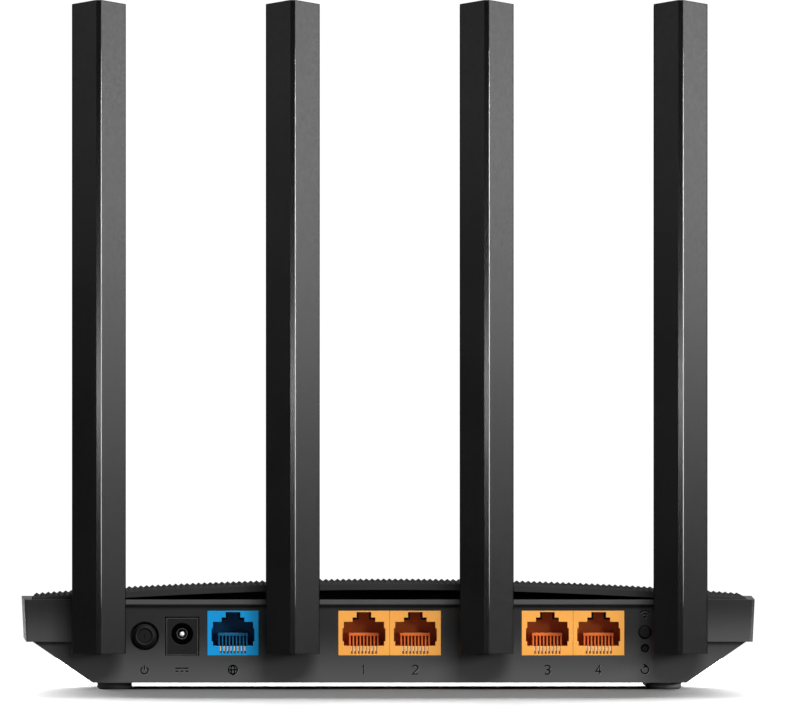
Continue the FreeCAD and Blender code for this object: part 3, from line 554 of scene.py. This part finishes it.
def turned(profile: np.ndarray, centre: tuple, sides: int = 48) -> Surface:
    """A profile turned about a line along Y.

    point(i, a) = centre + (r_i cos a, y_i, r_i sin a), for each (y_i, r_i) and angle a.

    Args:
        profile: (y, radius) pairs; its first and last points have a radius of nearly nothing.
        centre: a point on the axis.
        sides: how many angles.
    Returns:
        The closed surface.
    """
    angle = np.linspace(0, 2 * math.pi, sides, endpoint=False)
    along, radius = profile[:, 0][:, None], profile[:, 1][:, None]
    points = np.stack([centre[0] + radius * np.cos(angle), centre[1] + along + 0 * angle,
                       centre[2] + radius * np.sin(angle)], axis=-1)
    return Surface(points.reshape(-1, 3), tube_faces(len(profile), sides))


def stroke(path: np.ndarray, width: float, face: float, depth: float,
           closed: bool = False) -> Surface:
    """A flat bar carried along a path in the XZ plane, as an engraved line's floor.

    At each point of the path the section is a rectangle: the mitred side vector times plus or minus
    half the width, at y = face and y = face + depth.

    Args:
        path: (x, z) points.
        width: the line's width.
        face: y of the side that shows.
        depth: how thick the bar is.
        closed: whether the path joins its own start.
    Returns:
        The closed surface.
    """
    ahead = np.roll(path, -1, axis=0) - path
    behind = path - np.roll(path, 1, axis=0)
    if not closed:
        ahead[-1] = behind[-1]
        behind[0] = ahead[0]
    ahead = ahead / np.linalg.norm(ahead, axis=1, keepdims=True)
    behind = behind / np.linalg.norm(behind, axis=1, keepdims=True)
    along = ahead + behind
    along = along / np.linalg.norm(along, axis=1, keepdims=True)
    side = np.stack([-along[:, 1], along[:, 0]], axis=1)
    reach = 0.5 * width / np.clip(np.sum(along * ahead, axis=1, keepdims=True), 0.5, 1)
    left = path + side * reach
    right = path - side * reach
    ring = []
    back = face + depth
    for edge, level in ((left, face), (right, face), (right, back), (left, back)):
        ring.append(np.stack([edge[:, 0], np.full(len(path), level), edge[:, 1]], axis=1))
    points = np.stack(ring, axis=1).reshape(-1, 3)
    rows = len(path)
    faces = quad_faces(rows, 4, around=True)
    start = (rows - 1) * 4
    if closed:
        faces += [((k + 1) % 4, k, start + k, start + (k + 1) % 4) for k in range(4)]
    else:
        faces += [(3, 2, 1, 0), (start, start + 1, start + 2, start + 3)]
    return Surface(points, faces)


def arc_path(centre: tuple, radii: tuple, start: float, end: float, count: int) -> np.ndarray:
    """Points on an elliptic arc in the XZ plane: centre + (rx cos a, rz sin a), a in degrees."""
    angle = np.radians(np.linspace(start, end, count))
    return np.stack([centre[0] + radii[0] * np.cos(angle),
                     centre[1] + radii[1] * np.sin(angle)], axis=1)


def block(low: tuple, high: tuple) -> Surface:
    """A six-sided block between two corners, its faces outward."""
    x, y, z = zip(low, high)
    points = np.array([(x[i], y[j], z[k]) for k in (0, 1) for j in (0, 1) for i in (0, 1)], float)
    faces = [(0, 2, 3, 1), (4, 5, 7, 6), (0, 1, 5, 4),
             (2, 6, 7, 3), (0, 4, 6, 2), (1, 3, 7, 5)]
    return Surface(points, faces)


# ------------------------------------------------------------------ sub-assemblies

@dataclass
class Case:
    """The tub, the upper frame, the feet and the fixings."""

    shop: Paintshop
    lip_half: float = 91.5 * MM
    lip_level: float = 25.55 * MM
    lip_height: float = 1.3 * MM

    def dress(self) -> None:
        """Finish the case's own nodes."""
        self.shop.dress(Finish.CASE, "lower_case")
        self.shop.dress(Finish.FRAME, "upper_frame")
        self.shop.dress(Finish.RUBBER, "rubber_feet")
        self.shop.dress(Finish.STEEL, "case_screws", "board_screws")
        self.lip()

    def lip(self) -> None:
        """A lighter face on the lip over the connector panel, just proud of the frame: painted
        light, as if the lip caught light from above.
        """
        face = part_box("upper_frame")[0].y - 0.04 * MM
        half, level = self.lip_half, self.lip_level
        path = np.array([(-half, level), (half, level)])
        surface = stroke(path, self.lip_height, face, BAR_DEPTH)
        self.shop.piece("lip_face", surface, "case", "frame_plastic", Finish.LIP_LIT)


@dataclass
class TopCover:
    """The arched cover with its field of small square pyramids."""

    shop: Paintshop
    pitch: float = 1.72 * MM
    rise: float = 0.6 * MM
    plate: float = 1.8 * MM
    radius: float = 1.286
    crest: float = 31.5 * MM

    def arch(self, x: np.ndarray, drop: float) -> np.ndarray:
        """Height of the arch: the crest less the drop, on a circular arc across the width."""
        return self.crest - drop - (self.radius - np.sqrt(self.radius ** 2 - x ** 2))

    def build(self) -> None:
        """Make the pyramids, the edge band and the underside as one closed surface.

        Corner points lie on a square grid at the arch's height less the rise, and each cell's tip
        at the full height. The underside repeats the grid lower down.
        """
        low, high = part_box("top_cover")
        columns = round((high.x - low.x) / self.pitch) + 1
        rows = round((high.y - low.y) / self.pitch) + 1
        x = np.linspace(low.x, high.x, columns)
        y = np.linspace(low.y, high.y, rows)
        grid_x, grid_y = np.meshgrid(x, y)
        tip_x, tip_y = np.meshgrid((x[1:] + x[:-1]) / 2, (y[1:] + y[:-1]) / 2)
        corners = np.stack([grid_x, grid_y, self.arch(grid_x, self.rise)], axis=-1)
        corners = corners.reshape(-1, 3)
        tips = np.stack([tip_x, tip_y, self.arch(tip_x, 0)], axis=-1).reshape(-1, 3)
        under = corners - np.array([0, 0, self.plate])
        quads = np.array(quad_faces(rows, columns))
        tip = len(corners) + np.arange(len(quads))
        faces = []
        for k in range(4):
            faces += np.stack([quads[:, k], quads[:, (k + 1) % 4], tip], axis=1).tolist()
        base = len(corners) + len(tips)
        faces += (quads[:, ::-1] + base).tolist()
        first = np.arange(columns)
        right = np.arange(rows) * columns + columns - 1
        last = (rows - 1) * columns + first[::-1]
        left = np.arange(rows)[::-1] * columns
        rim = np.concatenate([first[:-1], right[:-1], last[:-1], left[:-1]])
        onward = np.roll(rim, -1)
        faces += np.stack([rim, rim + base, onward + base, onward], axis=1).tolist()
        points = np.vstack([corners, tips, under])
        surface = Surface(points, [tuple(face) for face in faces])
        piece = self.shop.piece("pyramid_cover", surface, "case", "cover_plastic", Finish.COVER)
        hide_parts("top_cover")


@dataclass
class Sockets:
    """The network sockets, with the ribbed comb, contact tips and painted latch-recess shadow
    inside each.

    Sizes are in mm; depths run back from a socket's face, and heights up from its lower edge.
    """

    shop: Paintshop
    contacts: int = 8
    pitch: float = 1.02
    comb_half: float = 4.45
    comb_back: float = 9.6
    teeth_depth: tuple = (5.0, 7.6)
    teeth_height: tuple = (2.85, 5.7)
    roof_depth: float = 4.9
    roof_top: float = 6.6
    tip_depth: tuple = (0.25, 1.1)
    tip_height: tuple = (1.25, 2.75)
    recess_depth: tuple = (1.2, 1.5)
    recess_bottom: float = 10.5

    def build(self) -> None:
        """Finish each socket and fill its bay."""
        self.fit("wan_socket", Finish.UPLINK, Finish.UPLINK_COMB, "wan_plastic")
        for number in range(1, 5):
            self.fit(f"lan_socket_{number}", Finish.LOCAL, Finish.LOCAL_COMB, "lan_plastic")

    def fit(self, name: str, outside: Finish, inside: Finish, slot: str) -> None:
        """Finish one socket and its contacts, and add its comb, tips and recess shadows; the comb's
        darker tone is painted shade, the tips' pale tone a painted glint, and the recess blocks are
        painted shadow.

        Args:
            name: the socket's node.
            outside: the finish of its housing.
            inside: the finish of its comb.
            slot: the material slot of both.
        """
        self.shop.dress(outside, name)
        self.shop.dress(Finish.GOLD, name.replace("socket", "contacts"))
        low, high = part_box(name)
        origin = np.array([(low.x + high.x) / 2, low.y, low.z])

        def bar(half: float, middle: float, depths: tuple, heights: tuple) -> Surface:
            """A block given in mm from the middle of the socket's front lower edge."""
            near = (middle - half, depths[0], heights[0])
            far = (middle + half, depths[1], heights[1])
            return block(*(origin + np.array([near, far]) * MM))

        places = (np.arange(self.contacts) - (self.contacts - 1) / 2) * self.pitch
        walls = (np.arange(self.contacts + 1) - self.contacts / 2) * self.pitch
        teeth_back, teeth_top = self.teeth_depth[1], self.teeth_height[1]
        roof = (self.roof_depth, self.comb_back), (teeth_top, self.roof_top)
        back = (teeth_back, self.comb_back), self.teeth_height
        comb = [bar(self.comb_half, 0, *roof), bar(self.comb_half, 0, *back)]
        comb += [bar(0.2, float(x), self.teeth_depth, self.teeth_height) for x in walls]
        # Pale tips on the contacts: a painted glint.
        tips = [bar(0.15, float(x) - 0.06, self.tip_depth, self.tip_height) for x in places]
        # Near-black blocks at the notch's corners: painted shadow in the latch recess.
        recess_shadows = [bar(half, side * middle, self.recess_depth, (self.recess_bottom, top))
                for half, middle, top in ((0.3, 1.82, 12.65), (0.6, 2.7, 11.08))
                for side in (-1, 1)]
        stem = name.replace("_socket", "")
        self.shop.piece(stem + "_comb", join_all(comb), "case", slot, inside, bevel=0.00006)
        self.shop.piece(stem + "_tips", join_all(tips), "case", "contact_metal", Finish.TIP_GLINT)
        self.shop.piece(stem + "_recess_shadow", join_all(recess_shadows), "case", slot, Finish.ENGRAVED)


@dataclass
class PowerSide:
    """The power inlet and the three buttons with their switches."""

    shop: Paintshop
    rim_inset: float = 0.15 * MM
    rim_width: float = 0.2 * MM
    rim_proud: float = 0.05 * MM
    ring_radius: float = 1.5 * MM
    ring_width: float = 0.2 * MM
    mark_radius: float = 2.05 * MM
    mark_half: float = 0.7 * MM
    mark_line: float = 0.26 * MM
    mark_sink: float = 0.27 * MM

    def build(self) -> None:
        """Finish the nodes and add the inlet's rim and the power button's mark."""
        self.shop.dress(Finish.INNER, "power_socket", "power_switch", "pairing_switch",
                        "reset_switch")
        self.shop.dress(Finish.PIN, "power_socket_pin")
        self.shop.dress(Finish.BUTTON, "power_button", "pairing_button", "reset_button")
        self.rim()
        self.mark()

    def rim(self) -> None:
        """A thin raised rim round the inlet's face, lighter as a painted highlight, and a bright
        ring and domed tip on its pin, the tip white as a painted glint.
        """
        low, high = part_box("power_socket")
        left, right = low.x + self.rim_inset, high.x - self.rim_inset
        foot, head = low.z + self.rim_inset, high.z - self.rim_inset
        path = np.array([(left, foot), (right, foot), (right, head), (left, head)])
        surface = stroke(path, self.rim_width, low.y - self.rim_proud, BAR_DEPTH, closed=True)
        self.shop.piece("inlet_rim", surface, "case", "black_plastic", Finish.RIM_HIGHLIGHT)
        low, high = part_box("power_socket_pin")
        centre = ((low.x + high.x) / 2, (low.z + high.z) / 2)
        circle = arc_path(centre, (self.ring_radius, self.ring_radius), 0, 350, 36)
        ring = stroke(circle, self.ring_width, high.y - 0.6 * MM, 0.3 * MM, closed=True)
        self.shop.piece("inlet_ring", ring, "case", "contact_metal", Finish.PIN)
        # A white dome on the pin's face: a painted glint.
        dome = np.array([(0.1, 0.02), (0.1, 0.6), (0.0, 0.6),
                         (-0.18, 0.45), (-0.27, 0.25), (-0.30, 0.02)])
        tip = turned(dome * MM, (centre[0], low.y, centre[1]), 24)
        self.shop.piece("inlet_pin_tip", tip, "case", "contact_metal", Finish.PIN_GLINT)

    def mark(self) -> None:
        """The engraved ring and bar on the power button's dished cap."""
        low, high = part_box("power_button")
        x, z = (low.x + high.x) / 2, (low.z + high.z) / 2
        face = low.y + self.mark_sink
        circle = arc_path((x, z), (self.mark_radius, self.mark_radius), 0, 352, 44)
        upright = np.array([(x, z - self.mark_half), (x, z + self.mark_half)])
        ring = stroke(circle, self.mark_line, face, BAR_DEPTH, closed=True)
        bar = stroke(upright, self.mark_line, face, BAR_DEPTH)
        self.shop.piece("power_button_mark", join_all([ring, bar]), "power_button_body",
                        "button_plastic", Finish.ENGRAVED)


@dataclass
class Antennas:
    """The four blades, their swivels and what the blades hold."""

    shop: Paintshop
    count: int = 4
    bead_side: float = 0.68 * MM
    bead_radius: float = 0.18 * MM
    bead_sink: float = 0.09 * MM
    bead_ends: float = 8.0 * MM
    bead_rings: int = 41
    bead_sides: int = 12

    def build(self) -> None:
        """Finish each antenna's nodes and add its bead, a painted highlight."""
        for number in range(1, self.count + 1):
            self.shop.dress(Finish.ANTENNA, f"blade_{number}", f"blade_cover_{number}")
            self.shop.dress(Finish.KNUCKLE, f"knuckle_{number}")
            self.shop.dress(Finish.STEEL, f"swivel_clip_{number}")
            self.shop.dress(Finish.INNER, f"hinge_pin_{number}")
            self.shop.dress(Finish.BOARD, f"radiator_{number}")
            self.ridge(number)

    def ridge(self, number: int) -> None:
        """A slim light-grey bead along the right edge of a blade's ridge: a painted highlight.

        Its radius is R sqrt(1 - t^2), with t running from nearly -1 to nearly 1 over its length,
        so it fades out at both ends.

        Args:
            number: the antenna's number.
        """
        low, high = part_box(f"blade_{number}")
        centre_x = (low.x + high.x) / 2 + self.bead_side
        start, end = low.z + self.bead_ends, high.z - self.bead_ends
        t = np.linspace(-0.999, 0.999, self.bead_rings)
        angle = np.linspace(0, 2 * math.pi, self.bead_sides, endpoint=False)
        radius = (self.bead_radius * np.sqrt(1 - t ** 2))[:, None]
        height = ((start + end) / 2 + t * (end - start) / 2)[:, None] + 0 * angle
        centre_y = low.y + self.bead_sink
        points = np.stack([centre_x + radius * np.cos(angle), centre_y + radius * np.sin(angle),
                           height], axis=-1)
        bead = Surface(points.reshape(-1, 3), tube_faces(self.bead_rings, self.bead_sides))
        # Light-grey bead: a painted highlight.
        self.shop.piece(f"ridge_highlight_bead_{number}", bead, f"antenna_{number}", "antenna_plastic",
                        Finish.RIDGE_HIGHLIGHT)


@dataclass
class Electronics:
    """The board and everything on it."""

    shop: Paintshop

    def build(self) -> None:
        """Finish the board's nodes."""
        self.shop.dress(Finish.BOARD, "main_board")
        self.shop.dress(Finish.SINK, "heat_sink")
        self.shop.dress(Finish.PAD, "thermal_pad")
        self.shop.dress(Finish.STEEL, "shield_can_left", "shield_can_right")
        self.shop.dress(Finish.CHIP, "chips", "line_transformers", "capacitors", "coils")
        self.shop.dress(Finish.LAMP, "status_lamps")
        self.shop.dress(Finish.GUIDE, "light_guide")
        self.shop.dress(Finish.JACKET, "coax_leads")


@dataclass
class Markings:
    """Generic signs pressed into the panel: power, supply, globe, numerals, pairing and reset.

    Each sign is drawn about the middle of the piece above it, in parts of half its height.
    """

    shop: Paintshop
    height: float = 2.6 * MM
    line: float = 0.40 * MM
    level: float = 5.7 * MM

    def emboss(self, name: str, paths: list[tuple[np.ndarray, bool]]) -> None:
        """Make one sign as dark floors with a thin lit lower edge beside each.

        Args:
            name: the sign's name.
            paths: (x, z) paths and whether each is closed.
        """
        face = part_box("lower_case")[0].y
        shift = np.array([0.10 * MM, -0.16 * MM])
        dark = [stroke(path, self.line, face - 0.02 * MM, BAR_DEPTH, closed)
                for path, closed in paths]
        lit = [stroke(path + shift, self.line, face - 0.01 * MM, BAR_DEPTH, closed)
               for path, closed in paths]
        self.shop.piece("sign_" + name, join_all(dark), "case", "case_plastic", Finish.ENGRAVED)
        self.shop.piece("sign_edge_" + name, join_all(lit), "case", "case_plastic",
                        Finish.ENGRAVED_EDGE)

    def build(self) -> None:
        """Place each sign under the piece that it names."""
        half = self.height / 2
        self.emboss("power", self.power_sign(self.middle("power_button"), half))
        self.emboss("supply", self.supply_sign(self.middle("power_socket"), half))
        self.emboss("globe", self.globe_sign(self.middle("wan_socket"), half))
        for number in range(1, 5):
            x = self.middle(f"lan_socket_{number}")
            self.emboss(f"numeral_{number}", self.numeral(number, x, half))
        x = self.middle("pairing_button")
        self.emboss("reset", self.reset_sign(x, half))
        self.emboss("pairing", self.pairing_sign(x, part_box("pairing_button")[1].z + 1.9 * MM))

    def middle(self, node: str) -> float:
        """Middle of a node's width."""
        low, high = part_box(node)
        return (low.x + high.x) / 2

    def power_sign(self, x: float, half: float) -> list:
        """An open ring with an upright bar."""
        ring = arc_path((x, self.level - 0.1 * half), (0.8 * half, 0.8 * half), 125, 415, 24)
        bar = np.array([(x, self.level), (x, self.level + half)])
        return [(ring, False), (bar, False)]

    def supply_sign(self, x: float, half: float) -> list:
        """A long line over three short ones, the sign for direct current."""
        wide, short = 1.5 * half, 0.33 * half
        upper, lower = self.level + 0.35 * half, self.level - 0.35 * half
        paths = [(np.array([(x - wide, upper), (x + wide, upper)]), False)]
        for k in (-1, 0, 1):
            middle = x + k * wide * 0.75
            dash = np.array([(middle - short, lower), (middle + short, lower)])
            paths.append((dash, False))
        return paths

    def globe_sign(self, x: float, half: float) -> list:
        """A circle with an upright ellipse and two level lines."""
        ring = arc_path((x, self.level), (half, half), 0, 345, 24)
        meridian = arc_path((x, self.level), (0.42 * half, half), 0, 345, 24)
        equator = np.array([(x - half, self.level), (x + half, self.level)])
        return [(ring, True), (meridian, True), (equator, False)]

    def numeral(self, number: int, x: float, half: float) -> list:
        """One numeral, from straight strokes and arcs."""
        z = self.level
        wide = 0.62 * half
        if number == 1:
            return [(np.array([(x - 0.5 * wide, z + 0.6 * half), (x, z + half), (x, z - half)]),
                     False)]
        if number == 2:
            bow = arc_path((x, z + 0.45 * half), (wide, 0.55 * half), 170, -35, 12)
            return [(np.vstack([bow, [(x - wide, z - half), (x + wide, z - half)]]), False)]
        if number == 3:
            upper = arc_path((x, z + 0.5 * half), (wide, 0.5 * half), 150, -90, 12)
            lower = arc_path((x, z - 0.5 * half), (wide, 0.5 * half), 90, -150, 12)
            return [(np.vstack([upper, lower[1:]]), False)]
        stem = x + 0.4 * wide
        bar = z - 0.35 * half
        return [(np.array([(stem, z - half), (stem, z + half), (x - wide, bar), (x + wide, bar)]),
                 False)]

    def reset_sign(self, x: float, half: float) -> list:
        """A round arrow."""
        ring = arc_path((x, self.level), (0.85 * half, 0.85 * half), 100, -190, 24)
        tip = ring[0]
        head = np.array([tip + (-0.1 * half, 0.42 * half), tip + (0.45 * half, 0.02 * half),
                         tip + (-0.1 * half, -0.42 * half)])
        return [(ring, False), (head, False)]

    def pairing_sign(self, x: float, z: float) -> list:
        """Two small arcs over a dot, for a wireless link."""
        inner = arc_path((x, z), (0.9 * MM, 0.9 * MM), 40, 140, 10)
        outer = arc_path((x, z), (1.8 * MM, 1.8 * MM), 40, 140, 14)
        dot = arc_path((x, z), (0.18 * MM, 0.18 * MM), 0, 330, 12)
        return [(inner, False), (outer, False), (dot, True)]


# ------------------------------------------------------------------ studio

@dataclass
class Softbox:
    """One plain area light, aimed at a point; it can be kept on some objects, or off some."""

    name: str
    place: tuple
    aim: tuple
    width: float
    height: float
    power: float
    only: tuple = ()
    never: tuple = ()

    def build(self) -> None:
        """Add the light, linked to the objects that it lights alone or never lights."""
        light = bpy.data.lights.new(self.name, "AREA")
        light.shape = "RECTANGLE"
        light.size = self.width
        light.size_y = self.height
        light.energy = self.power
        lamp = bpy.data.objects.new(self.name, light)
        lamp.location = self.place
        ahead = Vector(self.aim) - Vector(self.place)
        lamp.rotation_euler = ahead.to_track_quat("-Z", "Y").to_euler()
        lamp.visible_camera = False
        bpy.context.scene.collection.objects.link(lamp)
        linked = [(item, "INCLUDE") for item in self.only]
        linked += [(item, "EXCLUDE") for item in self.never]
        if linked:
            receivers = bpy.data.collections.new(self.name + "_receivers")
            for k, (item, state) in enumerate(linked):
                receivers.objects.link(item)
                receivers.collection_objects[k].light_linking.link_state = state
            lamp.light_linking.receiver_collection = receivers


@dataclass
class Studio:
    """A white floor, soft lights and a long lens behind the router."""

    lens: float = 1500.0
    reach: float = 9.65
    centre_x: float = 1.6 * MM
    centre_z: float = 97.7 * MM
    turn_deg: float = 0.45
    eye_height: float = 118.6 * MM
    floor_radius: float = 0.75
    glow_from: float = 0.4
    glow_full: float = 0.707
    sky: float = 0.32
    rear: float = 0.5
    fill: float = 0.06
    white: float = 1.05

    def build(self) -> None:
        """Make the floor, the world, the lights and the camera."""
        paper = self.floor()
        self.world()
        aside = {"aim": (0.0, -0.06, 0.1), "never": (paper,)}
        blades = tuple(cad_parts[f"blade_{number}"] for number in range(1, 5))
        mid = 0.088
        lights = [
            Softbox("right_panel", (0.92, -0.50, 0.18), width=0.7, height=0.16, power=8.4, **aside),
            Softbox("left_panel", (-0.86, -0.62, 0.22), width=0.6, height=0.16, power=0.8, **aside),
            Softbox("ridge_side", (0.62, -1.3, 0.12), width=0.14, height=0.16, power=1.6, **aside),
            Softbox("front_high", (0.50, -1.5, 1.25), aim=(0.0, -0.05, 0.0), width=1.1,
                    height=0.7, power=40.0, never=(paper,)),
            Softbox("ridge_front", (0.0, -0.32, mid), aim=(0.0, 0.0, mid), width=0.32,
                    height=0.014, power=0.95, only=blades),
            Softbox("floor_wash", (0.0, 2.6, 0.28), aim=(0.0, -0.3, 0.0), width=1.2,
                    height=0.30, power=410.0, only=(paper,)),
        ]
        for light in lights:
            light.build()
        self.camera()

    def floor(self) -> bpy.types.Object:
        """A pale disc; it glows to the eye toward its edge, which so melts into the surround."""
        angle = np.linspace(0, 2 * math.pi, 96, endpoint=False)
        rim = self.floor_radius * np.stack([np.cos(angle), np.sin(angle), 0 * angle], axis=1)
        mesh = bpy.data.meshes.new("studio_floor")
        mesh.from_pydata(rim.tolist(), [], [tuple(range(96))])
        material, graph, shader, place = new_material("white_paper")
        fibre = graph.add("TexNoise", {"Vector": place, "Scale": 400.0, "Detail": 3.0})
        tone = graph.blend(fibre.outputs[0], rgba((0.79, 0.79, 0.79)), rgba((0.81, 0.81, 0.81)))
        axes = graph.add("SeparateXYZ", {0: place}).outputs
        squares = [graph.math("MULTIPLY", axis, axis) for axis in (axes[0], axes[1])]
        outer = graph.spread(graph.math("ADD", *squares), self.glow_from ** 2, self.glow_full ** 2)
        eye = graph.add("LightPath").outputs["Is Camera Ray"]
        glow = graph.math("MULTIPLY", eye, outer)
        graph.fill(shader, {"Base Color": tone, "Roughness": 0.9, "Specular IOR Level": 0.1,
                            "Emission Color": WHITE, "Emission Strength": glow})
        mesh.materials.append(material)
        floor = bpy.data.objects.new("studio_floor", mesh)
        bpy.context.scene.collection.objects.link(floor)
        return floor

    def world(self) -> None:
        """White to the eye; its light is bright above and behind, and dim at the sides."""
        world = bpy.data.worlds.new("studio")
        bpy.context.scene.world = world
        world.use_nodes = True
        graph = Graph(world.node_tree)
        background = world.node_tree.nodes["Background"]
        axes = graph.add("SeparateXYZ", {0: graph.add("TexCoord").outputs["Generated"]}).outputs
        above = graph.spread(axes[2], 0.3, 0.95, 0.0, self.sky)
        behind = graph.spread(axes[1], 0.45, 1.0, 0.0, self.rear)
        studio = graph.math("ADD", graph.math("ADD", above, behind), self.fill)
        eye = graph.add("LightPath").outputs["Is Camera Ray"]
        strength = graph.math("MAXIMUM", studio, graph.math("MULTIPLY", eye, self.white))
        graph.fill(background, {"Color": WHITE, "Strength": strength})

    def camera(self) -> None:
        """A long lens level with the antennas, looking at the sockets from a little to the left."""
        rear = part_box("upper_frame")[0].y
        camera = bpy.data.cameras.new("camera")
        camera.lens = self.lens
        camera.sensor_width = 36.0
        camera.clip_start = 0.1
        camera.clip_end = 100.0
        seat = bpy.data.objects.new("camera", camera)
        seat.location = (self.centre_x - self.reach * math.tan(math.radians(self.turn_deg)),
                         rear - self.reach, self.eye_height)
        aim = Vector((self.centre_x, rear, self.centre_z))
        seat.rotation_euler = (aim - seat.location).to_track_quat("-Z", "Y").to_euler()
        bpy.context.scene.collection.objects.link(seat)
        bpy.context.scene.camera = seat


def main() -> None:
    """Build the router's sub-assemblies and the studio in order."""
    logging.basicConfig(level=logging.INFO, format="%(name)s %(message)s")
    bpy.context.scene.view_settings.view_transform = "Standard"
    shop = Paintshop()
    Studio().build()
    Case(shop).dress()
    TopCover(shop).build()
    Sockets(shop).build()
    PowerSide(shop).build()
    Antennas(shop).build()
    Electronics(shop).build()
    Markings(shop).build()


if __name__ == "__main__":
    main()
